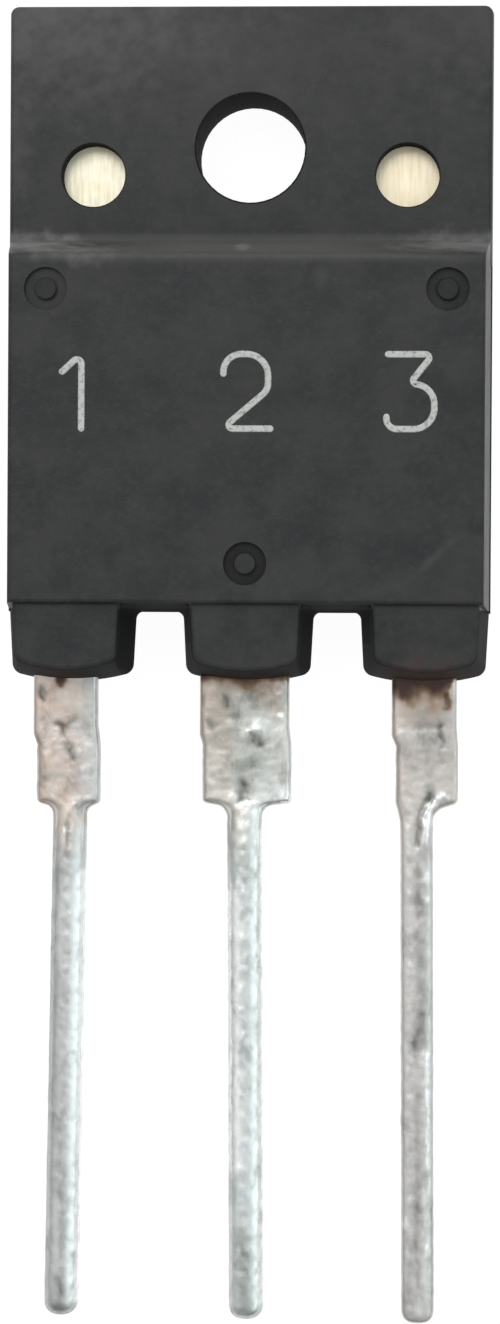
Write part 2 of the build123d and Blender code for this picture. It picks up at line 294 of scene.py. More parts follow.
@dataclass(frozen=True)
class Zone:
    """A region of the moulding with another tone, in mm: flux, a paler patch, painted light, or painted shade
    such as a hole's wall or an ejector mark.
    """

    shape: Shape
    centre: tuple[float, float, float]
    half: tuple[float, float, float]
    colour: str
    strength: float
    soft: float = 0.05
    roughness: float | None = None
    turn: float = 0.0              # degrees about Z

    def share(self, r: Recipe, ragged: bpy.types.NodeSocket) -> bpy.types.NodeSocket:
        """Lays out how strongly a place belongs to the zone, from 0 to the zone's strength.

        With u the place measured from the centre in half sizes, a box's reach is the largest
        of |ux|, |uy| and |uz|, a bore's is the larger of |(ux, uy)| and |uz|, and a cloud's is
        |u| plus the noise, which is about a half. The share falls by a smooth step to nought
        at a reach of 1, or of 1.5 in a cloud.

        Args:
            r: Recipe of the material.
            ragged: Noise that shakes the clouds.

        Returns:
            The socket that holds the share.
        """
        away = r.add("VectorMath", (r.places, [c * MM for c in self.centre]), operation="SUBTRACT")
        if self.turn:
            away = r.add("VectorRotate", {"Vector": away, "Angle": -math.radians(self.turn)},
                         rotation_type="Z_AXIS")
        away = r.add("VectorMath", (away, [1 / (h * MM) for h in self.half]), operation="MULTIPLY")
        if self.shape is Shape.CLOUD:
            round_reach = r.add("VectorMath", (away,), operation="LENGTH")
            reach = r.add("Math", (round_reach, ragged), operation="ADD")
            ends = 1.5, 0.75 - self.soft
        else:
            away = r.add("VectorMath", (away,), operation="ABSOLUTE")
            x, y, z = r.add("SeparateXYZ", (away,)).node.outputs
            if self.shape is Shape.BORE:
                flat = r.add("VectorMath", (away, (1.0, 1.0, 0.0)), operation="MULTIPLY")
                side = r.add("VectorMath", (flat,), operation="LENGTH")
            else:
                side = r.add("Math", (x, y), operation="MAXIMUM")
            reach = r.add("Math", (side, z), operation="MAXIMUM")
            ends = 1.0, 1.0 - self.soft / min(self.half)
        return r.add("MapRange", (reach, *ends, 0.0, self.strength), interpolation_type="SMOOTHSTEP")


@dataclass(frozen=True)
class MouldedEpoxy:
    """Black silica-filled epoxy from a spark-eroded mould: a fine matt grain that greys the black."""

    name: str = "moulded_epoxy"
    colour: str = "#222324"
    cloud: str = "#303030"
    cloud_size: float = 1.5
    speck: str = "#3c3c3b"
    speck_size: float = 0.24
    roughness: float = 0.46
    gloss: float = 0.24
    grain: float = 0.09
    grain_depth: float = 0.006
    rag: float = 0.55              # size of the zones' ragged edges
    zones: tuple[Zone, ...] = ()

    def material(self) -> bpy.types.Material:
        """Lays out the finish and returns it."""
        r = Recipe(self.name)
        clouds = r.add("TexNoise", {"Vector": r.places, "Scale": per_metre(self.cloud_size),
                                    "Detail": 6.0, "Roughness": 0.62})
        specks = r.add("TexNoise", {"Vector": r.places, "Scale": per_metre(self.speck_size), "Detail": 1.0})
        grain = r.add("TexNoise", {"Vector": r.places, "Scale": per_metre(self.grain), "Detail": 3.0,
                                   "Roughness": 0.6})
        ragged = r.add("TexNoise", {"Vector": r.places, "Scale": per_metre(self.rag), "Detail": 4.0})
        cloudy = r.add("MapRange", (clouds, 0.34, 0.66), interpolation_type="SMOOTHSTEP")
        speckled = r.add("MapRange", (specks, 0.5, 0.8, 0.0, 0.3))
        rough = r.add("MapRange", (clouds, 0.3, 0.7, self.roughness - 0.04, self.roughness + 0.05))
        colour = linear(self.colour)
        layers = [(cloudy, self.cloud, None), (speckled, self.speck, None)]
        # The zones lay on flux stains, paler patches, painted light on the tab and the step, and painted
        # shade in the holes, slots and ejector marks.
        layers += [(zone.share(r, ragged), zone.colour, zone.roughness) for zone in self.zones]
        for share, code, roughness in layers:
            colour = r.add("Mix", {0: share, 6: colour, 7: linear(code)}, data_type="RGBA")
            if roughness is not None:
                rough = r.add("Mix", {0: share, 2: rough, 3: roughness})
        bump = r.add("Bump", {"Height": grain, "Strength": 1.0, "Distance": self.grain_depth * MM})
        return r.finish(r.add("BsdfPrincipled", {"Base Color": colour, "Roughness": rough,
                                                 "Specular IOR Level": self.gloss, "Normal": bump}))


@dataclass(frozen=True)
class PlatedCopper:
    """Nickel-plated copper strip under a matt bloom: a warm pale grey with soft rolling marks."""

    name: str = "nickel_plated_copper"
    colour: str = "#eee9d5"
    bloom: str = "#e2dabf"
    bloom_size: float = 0.8
    aged: str = "#e5d5b6"
    aged_x: tuple[float, float] = (-4.0, 5.0)      # not aged at the first, most at the second
    roughness: float = 0.5
    rolling: float = 0.08

    def material(self) -> bpy.types.Material:
        """Lays out the finish and returns it."""
        r = Recipe(self.name)
        stretched = r.add("Mapping", {"Vector": r.places, "Scale": (1.0, 0.06, 1.0)})
        marks = r.add("TexNoise", {"Vector": stretched, "Scale": per_metre(self.rolling), "Detail": 3.0})
        bloom = r.add("TexNoise", {"Vector": r.places, "Scale": per_metre(self.bloom_size), "Detail": 3.0})
        patch = r.add("MapRange", (bloom, 0.4, 0.65))
        x = r.add("SeparateXYZ", (r.places,))
        aged = r.add("MapRange", (x, *(end * MM for end in self.aged_x), 0.0, 0.55))
        colour = linear(self.colour)
        for share, code in ((patch, self.bloom), (aged, self.aged)):
            colour = r.add("Mix", {0: share, 6: colour, 7: linear(code)}, data_type="RGBA")
        rough = r.add("MapRange", (marks, 0.3, 0.7, self.roughness - 0.06, self.roughness + 0.06))
        bump = r.add("Bump", {"Height": marks, "Strength": 0.5, "Distance": 0.002 * MM})
        return r.finish(r.add("BsdfPrincipled", {"Base Color": colour, "Metallic": 0.75,
                                                 "Roughness": rough, "Normal": bump}))


@dataclass(frozen=True)
class TinLeadSolder:
    """Old tin-lead solder, dull and grainy, under a thin beige varnish of flux in places.

    The coats carry four numbers for each vertex. One warms the metal with varnish; one darkens it, as tarnish
    in its pits and as painted shade in its creases, along its edges and at the tips; one whitens it with a
    near-white painted highlight where the solder is freshly wetted and smoother; and rosin is the brown flux
    itself, tan where it is thin and nearly black where it is thick.
    """

    name: str
    colour: str = "#d6d6d4"
    varnish: str = "#dac6b8"
    # Darkening colour: tarnish, and painted shade in creases, along edges and at the tips.
    tarnish_and_painted_shade: str = "#64625c"
    # Near-white colour of the painted highlights.
    bright: str = "#fdffff"
    rosin_thin: str = "#9b8069"
    rosin_thick: str = "#3b2013"
    mottle: float = 0.26           # how far the dross darkens it
    dross: float = 0.5             # size of the dross's patches
    roughness: float = 0.42
    grain: float = 0.22
    grain_depth: float = 0.02

    def material(self) -> bpy.types.Material:
        """Lays out the finish and returns it."""
        r = Recipe(self.name)
        varnish, tarnish_and_painted_shade, bright, rosin = (
            r.add("Attribute", attribute_name=key).node.outputs["Fac"]
            for key in ("varnish", "tarnish_and_painted_shade", "bright", "rosin"))
        drawn = r.add("Mapping", {"Vector": r.places, "Scale": (1.0, 0.6, 1.0)})
        grain = r.add("TexNoise", {"Vector": drawn, "Scale": per_metre(self.grain), "Detail": 3.0,
                                   "Roughness": 0.55})
        dross = r.add("TexNoise", {"Vector": drawn, "Scale": per_metre(self.dross), "Detail": 5.0,
                                   "Roughness": 0.6})
        pits = r.add("MapRange", (dross, 0.47, 0.72, 0.0, self.mottle), interpolation_type="SMOOTHSTEP")
        dark = r.add("Math", (tarnish_and_painted_shade, pits), operation="ADD", use_clamp=True)
        thin = r.add("MapRange", (rosin, 0.0, 0.5))
        thick = r.add("MapRange", (rosin, 0.2, 0.8))
        colour = linear(self.colour)
        # Tarnish and painted shade darken the metal, and the painted highlight whitens it.
        for share, code in ((varnish, self.varnish), (bright, self.bright), (dark, self.tarnish_and_painted_shade),
                            (thin, self.rosin_thin), (thick, self.rosin_thick)):
            colour = r.add("Mix", {0: share, 6: colour, 7: linear(code)}, data_type="RGBA")
        rough = r.add("MapRange", (grain, 0.3, 0.7, self.roughness - 0.1, self.roughness + 0.1))
        smoother = r.add("Math", (bright, -0.12, rough), operation="MULTIPLY_ADD")
        bare = r.add("Math", (1.0, thick), operation="SUBTRACT")
        bump = r.add("Bump", {"Height": grain, "Strength": 0.6, "Distance": self.grain_depth * MM})
        return r.finish(r.add("BsdfPrincipled", {"Base Color": colour, "Metallic": bare,
                                                 "Roughness": smoother, "Normal": bump}))


@dataclass(frozen=True)
class MarkingInk:
    """Pale grey pad-printed ink, thin and matt, a little worn through on the grain."""

    name: str = "pad_printed_ink"
    colour: str = "#b9b9b6"
    worn: str = "#8b8b89"
    wear_size: float = 0.14

    def material(self) -> bpy.types.Material:
        """Lays out the finish and returns it."""
        r = Recipe(self.name)
        wear = r.add("TexNoise", {"Vector": r.places, "Scale": per_metre(self.wear_size), "Detail": 3.0})
        worn = r.add("MapRange", (wear, 0.5, 0.68))
        colour = r.add("Mix", {0: worn, 6: linear(self.colour), 7: linear(self.worn)}, data_type="RGBA")
        bump = r.add("Bump", {"Height": wear, "Strength": 0.4, "Distance": 0.004 * MM})
        return r.finish(r.add("BsdfPrincipled", {"Base Color": colour, "Roughness": 0.7, "Normal": bump}))


@dataclass(frozen=True)
class PlainMetal:
    """A metal or silicon piece sealed in the moulding, with a grain of its own size."""

    name: str
    colour: str
    shade: str
    roughness: float
    grain: float

    def material(self) -> bpy.types.Material:
        """Lays out the finish and returns it."""
        r = Recipe(self.name)
        grain = r.add("TexNoise", {"Vector": r.places, "Scale": per_metre(self.grain), "Detail": 3.0})
        colour = r.add("Mix", {0: grain, 6: linear(self.colour), 7: linear(self.shade)}, data_type="RGBA")
        bump = r.add("Bump", {"Height": grain, "Strength": 0.4, "Distance": 0.002 * MM})
        return r.finish(r.add("BsdfPrincipled", {"Base Color": colour, "Metallic": 1.0,
                                                 "Roughness": self.roughness, "Normal": bump}))


# --- Solder coats --------------------------------------------------------------------------
@dataclass(frozen=True)
class Mark:
    """A feature of a coat along a line, in mm: a crease, a ridge, a stain, painted shade, or a painted
    highlight on a smoother facet.

    Everything fades with exp(-(d / width)^2), d being the distance to the line.
    """

    line: tuple[float, ...]          # x and y of its first place, then of the next, and so on
    width: float
    # Darkening, which is tarnish in pits and painted shade in creases, along edges and at the tips.
    tarnish_and_painted_shade: float = 0.0
    relief: float = 0.0              # raised where positive
    varnish: float = 0.0
    rosin: float = 0.0
    # Near-white painted highlight, on a smoother finish.
    bright: float = 0.0

    def share(self, plan: np.ndarray) -> np.ndarray:
        """How strongly the mark shows at each place, from 0 to 1."""
        line = np.reshape(self.line + self.line[-2:], (-1, 2))
        return np.exp(-((distance_to(plan, line) / self.width) ** 2))


class Waves(Enum):
    """A coat's random fields: shortest and longest wave in mm, and what is added to its seed."""

    OUTLINE = (0.5, 3.0, 0)
    LUMPS = (0.5, 2.4, 0)
    DROSS = (0.25, 0.6, 1)
    DIP_LINE = (0.6, 2.0, 3)
    FLUX_EDGE = (0.15, 0.7, 4)
    BLOTCHES = (0.4, 2.0, 5)
    SHAKE_X = (0.2, 0.9, 8)
    SHAKE_Y = (0.2, 0.9, 9)


@dataclass(frozen=True)
class SolderCoat:
    """The coat that a dip and a hand iron left on one lead, from inside the leg to the tip.

    The coat's outline runs outside the lead's by the side coats. Its front and back rise from
    the outline to a plateau by z = b (1 - (1 - d / w)^n)^(1 / n), where d is the distance to
    the outline, w the width of the rounding, b half the thickness and n the fullness. Pairs of
    sizes are for the -X and the +X side, unless a comment says what they are.
    """

    name: str
    finish: TinLeadSolder
    seed: int
    centre: float                    # shoulder's middle
    half_shoulder: float
    root: float                      # pin's middle under the shoulder
    tip: float                       # pin's middle at the tip
    tip_y: float
    dip_y: float                     # upper edge of the thick coat
    side_coats: tuple[float, float]  # on the pin
    shoulder_coats: tuple[float, float]
    ledge_coat: float                # under the shoulder's outer corners
    ledge_drops: tuple[float, float]   # how much lower the ledge meets the pin
    corner_radii: tuple[float, float]
    root_radii: tuple[float, float]
    marks: tuple[Mark, ...]
    shoulder_rounding: tuple[float, float] = (0.26, 0.14)
    shoulder_fullness: float = 2.6
    shoulder_rise: float = 0.06      # coat on the shoulder's front
    pin_rise: float = 0.11           # coat in the middle of the pin's front
    pin_fullness: float = 2.7
    tip_length: float = 0.5
    tip_fullness: float = 2.3
    lumps: float = 0.012
    shoulder_lumps: float = 0.45     # share of the lumps that the flat shoulder shows
    dross: float = 0.6               # height of the fine lumps, as a share of the others'
    dip_fade: float = 0.45
    dip_waver: float = 0.05
    varnish_x: tuple[float, float] = (0.0, 1.0)   # varnished up to the first, bare past the second
    varnish: float = 0.5
    varnish_rest: float = 0.25       # on the shoulder past the second
    varnish_rag: float = 0.9
    varnish_even: float = 0.6        # share of the varnish that the blotches leave alone
    worn: float = 0.85               # share of the varnish that is gone from the pin
    worn_y: tuple[float, float] = (-21.4, -24.0)   # from and to where it goes
    rosin_y: float = -17.7           # lower edge of the thick flux
    rosin_fade: float = 0.12
    rosin_rag: float = 0.1
    rosin_drawn: float = 0.12        # how little its edge changes along Y, so that it is streaky
    rosin_film: float = 0.02

    half_pin: float = 0.51
    middle_z: float = 2.8
    half_thickness: float = 0.3
    top_y: float = -17.35
    stub_y: float = -19.35
    stubs: tuple[float, float] = (0.15, -0.05)     # the sheared stub stands out, the other is bitten
    stub_starts: tuple[float, float] = (0.0, 0.3)  # over stub_y, where the step to the edge starts
    stub_ends: tuple[float, float] = (-0.35, -0.3)
    stub_radius: float = 0.08
    shoulder_y: float = -21.54
    thin_coat: float = 0.03          # above the dip line
    neck: tuple[float, float] = (-0.25, 0.35)      # below the shoulder, where the form turns a pin's
    swell: tuple[float, float] = (-0.3, 1.9)       # below the shoulder, where the pin's coat thickens
    steady: tuple[float, float] = (0.3, 1.2)       # over the tip, where the outline starts to wobble
    wobble_y: float = -20.0          # where it wobbles fully, under the stub
    lump_rim: float = 0.3            # how far inside the outline the lumps have their full height
    relief_rim: float = 0.12         # the same for the marks' relief, and for the flux below
    rosin_rim: float = 0.1
    lead_bevel: float = 0.1          # of the lead under the coat
    skin: float = 0.008              # least coat over the lead
    skin_rim: float = 0.02           # how far inside the outline it starts
    shake: float = 0.05              # of the marks
    fan: tuple[float, ...] = (1.1, 0.12, -0.25, -1.4)   # over the ledge: its start, two rows, its end
    fan_hang: tuple[float, float] = (0.5, 0.06)    # over the ledge, the middles of those two rows
    run_steps: tuple[int, ...] = (26, 3, 34, 5, 175)
    arc_steps: int = 9
    cap_steps: int = 19
    across: int = 41
    side_draw: int = 7               # added to the seed for the +X side's outline
    back_draw: int = 50              # added to the seed for the back

    def waves(self, kind: Waves, plan: np.ndarray, draw: int = 0) -> np.ndarray:
        """The coat's random field of that kind at each place; draw picks another one like it."""
        shortest, longest, own = kind.value
        return ripple(plan, (shortest, longest), self.seed + own + draw)

    def outline(self, side: int) -> np.ndarray:
        """The coat's outline along one side, from the leg to the tip's middle.

        Args:
            side: -1 for the -X side, 1 for the +X side.

        Returns:
            Places in mm, as many for either side.
        """
        pick = (side + 1) // 2
        edge = self.centre + side * (self.half_shoulder + self.shoulder_coats[pick])
        stub = self.centre + side * (self.half_shoulder + self.stubs[pick] + self.thin_coat)
        ledge = self.shoulder_y - self.ledge_coat
        half = self.half_pin + self.side_coats[pick]
        corners = np.array([
            (stub, self.top_y), (stub, self.stub_y + self.stub_starts[pick]),
            (edge, self.stub_y + self.stub_ends[pick]), (edge, ledge),
            (self.root + side * half, ledge - self.ledge_drops[pick]),
            (self.tip + side * half, self.tip_y + self.tip_length)])
        radii = [self.stub_radius, self.stub_radius, self.corner_radii[pick], self.root_radii[pick]]
        path = rounded_path(corners, radii, self.run_steps, self.arc_steps)
        turn = np.linspace(0, np.pi / 2, self.cap_steps)[1:]
        power = 2 / self.tip_fullness
        cap = np.stack([self.tip + side * half * np.cos(turn) ** power,
                        self.tip_y + self.tip_length * (1 - np.sin(turn) ** power)], -1)
        path = np.vstack([path, cap])
        wobble = self.waves(Waves.OUTLINE, path, self.side_draw * pick) * self.lumps
        fade = smooth(path[:, 1] - self.tip_y, *self.steady)
        fade *= smooth(-path[:, 1], -self.stub_y, -self.wobble_y)
        path[:, 0] += side * np.abs(wobble) * fade
        path[-1, 0] = self.tip
        return path

    def plan(self) -> tuple[np.ndarray, np.ndarray]:
        """The plan grid, and the distances of each of its places to the outline's two sides.

        Across a station the places run with x = m + (e - m) s and y = c + (e - c) s^2, from
        the middle m, c to the edge e, with s spaced as a cosine. Before the shoulder's lower
        corner the middle hangs back, so that the rows fan round the corner.

        Returns:
            Grid in mm, shape (rows, columns, 2), and distances, shape (2, rows, columns).
        """
        sides = np.stack([self.outline(-1), self.outline(1)])
        mean = sides.mean(0)
        travel = np.concatenate([[0], np.cumsum(np.linalg.norm(np.diff(sides, axis=1), axis=2).mean(0))])
        ledge = self.shoulder_y - self.ledge_coat
        above, corner, below, later = (
            int(np.searchsorted(-mean[:, 1], -(ledge + rise))) for rise in self.fan)
        knots = [0, above, corner, below, later, len(mean) - 1]
        levels = [mean[0, 1], mean[above, 1], *(ledge + hang for hang in self.fan_hang), mean[later, 1],
                  mean[-1, 1]]
        centre_y = np.interp(travel, travel[knots], levels)
        straight = (np.arange(len(mean)) < above) | (np.arange(len(mean)) > later)
        centre_y[straight] = mean[straight, 1]
        s = -np.cos(np.linspace(0, np.pi, self.across))
        edge = np.where(s[None, :, None] < 0, sides[0][:, None], sides[1][:, None])
        centre = np.stack([mean[:, 0], centre_y], -1)[:, None]
        bend = np.stack([np.abs(s), s * s], -1)[None]
        plan = centre + (edge - centre) * bend
        far = np.stack([distance_to(plan, side) for side in sides])
        far[:, :, [0, -1]] = 0
        turned = self.folded(plan)
        if turned:
            log.warning("%s: %d cells of the plan are folded", self.name, turned)
        return plan, far

    @staticmethod
    def folded(plan: np.ndarray) -> int:
        """How many cells of the grid are turned over, by the sign of their diagonals' product."""
        one, two = plan[1:, 1:] - plan[:-1, :-1], plan[1:, :-1] - plan[:-1, 1:]
        return int((one[..., 0] * two[..., 1] - one[..., 1] * two[..., 0] > 1e-9).sum())

    def below_shoulder(self, plan: np.ndarray, ends: tuple[float, float]) -> np.ndarray:
        """Rises from 0 to 1 between two distances in mm below the shoulder's lower edge."""
        return smooth(self.shoulder_y - plan[..., 1], *ends)

    def sheet(self, plan: np.ndarray, far: np.ndarray, front: bool) -> np.ndarray:
        """Height of the front or the back sheet over the lead's middle plane.

        Args:
            plan: The plan grid.
            far: Distances to the outline's two sides.
            front: Whether it is the front, which also has the marks and the flux.

        Returns:
            Heights in mm, shape (rows, columns).
        """
        dipped = smooth(self.edge_of_dip(plan) - plan[..., 1], -self.dip_fade, self.dip_fade)
        pin = self.below_shoulder(plan, self.neck)
        half_pin = self.half_pin + sum(self.side_coats) / 2
        rise = self.thin_coat + (self.shoulder_rise - self.thin_coat) * dipped
        rise = rise + (self.pin_rise - rise) * self.below_shoulder(plan, self.swell)
        fullness = self.shoulder_fullness + (self.pin_fullness - self.shoulder_fullness) * pin
        near = far.min(0)
        profile = np.ones_like(near)
        for away, shoulder in zip(far, self.shoulder_rounding):
            level = np.clip(away / (shoulder + (half_pin - shoulder) * pin), 0, 1)
            profile = np.minimum(profile, (1 - (1 - level) ** fullness) ** (1 / fullness))
        height = (self.half_thickness + rise) * profile
        draw = 0 if front else self.back_draw
        lumps = self.waves(Waves.LUMPS, plan, draw) + self.dross * self.waves(Waves.DROSS, plan, draw)
        shown = self.shoulder_lumps + (1 - self.shoulder_lumps) * pin
        height += smooth(near, 0.0, self.lump_rim) * shown * self.lumps * lumps
        if front:
            relief = sum(mark.relief * share for mark, share in self.laid(plan))
            height += smooth(near, 0.0, self.relief_rim) * relief
            height += smooth(near, 0.0, self.rosin_rim) * self.rosin_film * self.rosin(plan)
        core = self.half_thickness - np.clip(self.lead_bevel - near, 0, self.lead_bevel)
        height = np.maximum(height, np.where(near > self.skin_rim, core + self.skin, 0))
        height[:, [0, -1]] = 0
        height[-1] = 0
        return height

    def laid(self, plan: np.ndarray) -> list[tuple[Mark, np.ndarray]]:
        """Each mark with its share at each place.

        The marks are laid on a plan that is shaken by a few hundredths of a millimetre, so that
        none of them is drawn with a ruler.

        Args:
            plan: The plan grid.

        Returns:
            Pairs of a mark and its grid of shares.
        """
        shake = [self.waves(axis, plan) for axis in (Waves.SHAKE_X, Waves.SHAKE_Y)]
        bent = plan + self.shake * np.stack(shake, -1)
        return [(mark, mark.share(bent)) for mark in self.marks]

    def edge_of_dip(self, plan: np.ndarray) -> np.ndarray:
        """Y of the thick coat's upper edge at each place, a wavering line across the lead."""
        return self.dip_y + self.dip_waver * self.waves(Waves.DIP_LINE, plan * (1, 0))

    def rosin(self, plan: np.ndarray) -> np.ndarray:
        """How much of the brown flux lies at each place: a ragged collar and the marks.

        Args:
            plan: The plan grid.

        Returns:
            Shares from 0 to 1, shape (rows, columns).
        """
        streaks = self.waves(Waves.FLUX_EDGE, plan * (1, self.rosin_drawn))
        edge = self.rosin_y + self.rosin_rag * streaks
        film = smooth(plan[..., 1] - edge, -self.rosin_fade, self.rosin_fade)
        return np.clip(film + sum(mark.rosin * share for mark, share in self.laid(plan)), 0, 1)

    def varnished(self, plan: np.ndarray) -> np.ndarray:
        """How much of the flux's varnish lies at each place: blotchy, on the -X side, worn off the pin.

        Args:
            plan: The plan grid.

        Returns:
            Shares, shape (rows, columns).
        """
        blotch = 0.5 + 0.5 * self.waves(Waves.BLOTCHES, plan)
        bare = smooth(plan[..., 0] + self.varnish_rag * (blotch - 0.5), *self.varnish_x)
        film = self.varnish_rest + (self.varnish - self.varnish_rest) * (1 - bare)
        gone = self.worn * smooth(-plan[..., 1], *(-y for y in self.worn_y))
        return film * (1 - gone) * (self.varnish_even + (1 - self.varnish_even) * blotch)

    def build(self) -> bpy.types.Object:
        """Builds the closed coat and returns it."""
        plan, far = self.plan()
        front, back = self.sheet(plan, far, True), self.sheet(plan, far, False)
        vertices, faces, order = paired_sheets(plan, self.middle_z + front, self.middle_z - back, False, True)
        laid = self.laid(plan)
        fields = {
            "varnish": self.varnished(plan) + sum(mark.varnish * share for mark, share in laid),
            # Darkening from the marks: tarnish, and painted shade in creases, along edges and at the tips.
            "tarnish_and_painted_shade": sum(mark.tarnish_and_painted_shade * share for mark, share in laid),
            # Near-white painted highlights from the marks.
            "bright": np.max([mark.bright * share for mark, share in laid], axis=0),
            "rosin": self.rosin(plan)}
        values = {key: np.tile(np.clip(field, 0, 1).reshape(-1), 2)[order] for key, field in fields.items()}
        return mesh_object(self.name, vertices, faces, self.finish.material(), values)


# --- Pin numbers ---------------------------------------------------------------------------
class Numeral(Enum):
    """Single-stroke numerals on a box one high, as corner places with their radii."""

    ONE = (((-0.2, 0.76), (0.06, 1.0), (0.06, 0.0)), (0.06,))
    TWO = (((-0.3, 0.74), (-0.3, 1.0), (0.3, 1.0), (0.3, 0.52), (-0.31, 0.0), (0.33, 0.0)),
           (0.24, 0.29, 0.2, 0.05))
    THREE = (((-0.3, 1.0), (0.3, 1.0), (-0.02, 0.6), (0.32, 0.6), (0.32, 0.0), (-0.32, 0.0), (-0.32, 0.16)),
             (0.05, 0.05, 0.27, 0.28, 0.14))


@dataclass(frozen=True)
class PinNumbers:
    """Plain pin numbers printed on the body's front, one over each lead."""

    finish: MarkingInk = MarkingInk()
    places: tuple[tuple[Numeral, float], ...] = (
        (Numeral.ONE, -5.45), (Numeral.TWO, 0.0), (Numeral.THREE, 5.3))
    low_y: float = -9.4
    height: float = 2.4
    stroke: float = 0.22
    film: float = 0.014
    sunk: float = 0.01
    run_steps: int = 6
    arc_steps: int = 12
    samples: int = 9                 # across the stroke, and round each of its ends

    def build(self, front_z: float) -> list[bpy.types.Object]:
        """Builds the numerals on the front face, whose height is given in mm."""
        ink = self.finish.material()
        return [self.numeral(numeral, x, front_z, ink) for numeral, x in self.places]

    def numeral(self, numeral: Numeral, x: float, front_z: float,
                ink: bpy.types.Material) -> bpy.types.Object:
        """One numeral as a ribbon of ink with round ends.

        The ribbon's edge is p + h n s, with p the stroke's line, n its normal, s from -1 to 1
        and h half the stroke's width, which ends as root(h^2 - e^2) at e past the line's end.
        The ink stands t (1 - s^6) over the face.

        Args:
            numeral: Which numeral.
            x: Its middle in mm.
            front_z: Height of the face in mm.
            ink: Finish.

        Returns:
            The piece.
        """
        corners, radii = numeral.value
        corners = np.array(corners) * self.height + (x, self.low_y)
        line = rounded_path(corners, [radius * self.height for radius in radii],
                            [self.run_steps] * (len(corners) - 1), self.arc_steps)
        half = self.stroke / 2
        beyond = half * np.sin(np.linspace(np.pi / 2, 0, self.samples))[:-1, None]
        first, last = line[0] - line[1], line[-1] - line[-2]
        first, last = first / np.linalg.norm(first), last / np.linalg.norm(last)
        line = np.vstack([line[0] + beyond * first, line, line[-1] + beyond[::-1] * last])
        reach = np.full(len(line), half)
        round_end = np.sqrt(np.maximum(half**2 - beyond[:, 0] ** 2, 0))
        reach[:len(beyond)], reach[-len(beyond):] = round_end, round_end[::-1]
        along = np.gradient(line, axis=0)
        along /= np.linalg.norm(along, axis=1)[:, None]
        normal = np.stack([along[:, 1], -along[:, 0]], -1)
        s = np.linspace(1, -1, self.samples)
        plan = line[:, None] - (normal * reach[:, None])[:, None] * s[None, :, None]
        full = np.sqrt(np.clip(reach / half, 0, 1))[:, None]
        front = front_z + self.film * (1 - s**6)[None] * full
        back = np.where(np.abs(s)[None] < 1, front_z - self.sunk * full, front_z * np.ones_like(front))
        vertices, faces, _ = paired_sheets(plan, front, back, True, True)
        return mesh_object(f"pin_number_{numeral.name.lower()}", vertices, faces, ink)


# --- Studio --------------------------------------------------------------------------------
@dataclass(frozen=True)
class Lamp:
    """A soft square light that faces the object."""

    name: str
    place: tuple[float, float, float]    # mm
    size: float                          # mm
    level: float                         # share of a plain level that it gives at the object
    colour: str = "#ffffff"

    def build(self, target: tuple[float, float, float]) -> None:
        """Adds the light.

        A square of side a at distance r gives the object an irradiance of about
        power / (pi r^2), and a plain level is an irradiance of pi.

        Args:
            target: The place that it faces, in mm.
        """
        data = bpy.data.lights.new(self.name, "AREA")
        data.shape = "SQUARE"
        data.size = self.size * MM
        away = np.array(self.place) - np.array(target)
        data.energy = self.level * math.pi * math.pi * float(away @ away) * MM * MM
        data.color = linear(self.colour)[:3]
        lamp = bpy.data.objects.new(self.name, data)
        lamp.location = [c * MM for c in self.place]
        x, y, z = away / np.linalg.norm(away)
        lamp.rotation_euler = (math.acos(z), 0.0, math.atan2(x, -y))
        lamp.visible_camera = False
        bpy.context.scene.collection.objects.link(lamp)


@dataclass(frozen=True)
class SkyPatch:
    """A soft bright patch of the surround: its heading, its level, and where it fades, in degrees."""

    heading: tuple[float, float, float]
    level: float
    full_within: float
    gone_beyond: float
    colour: str = "#ffffff"


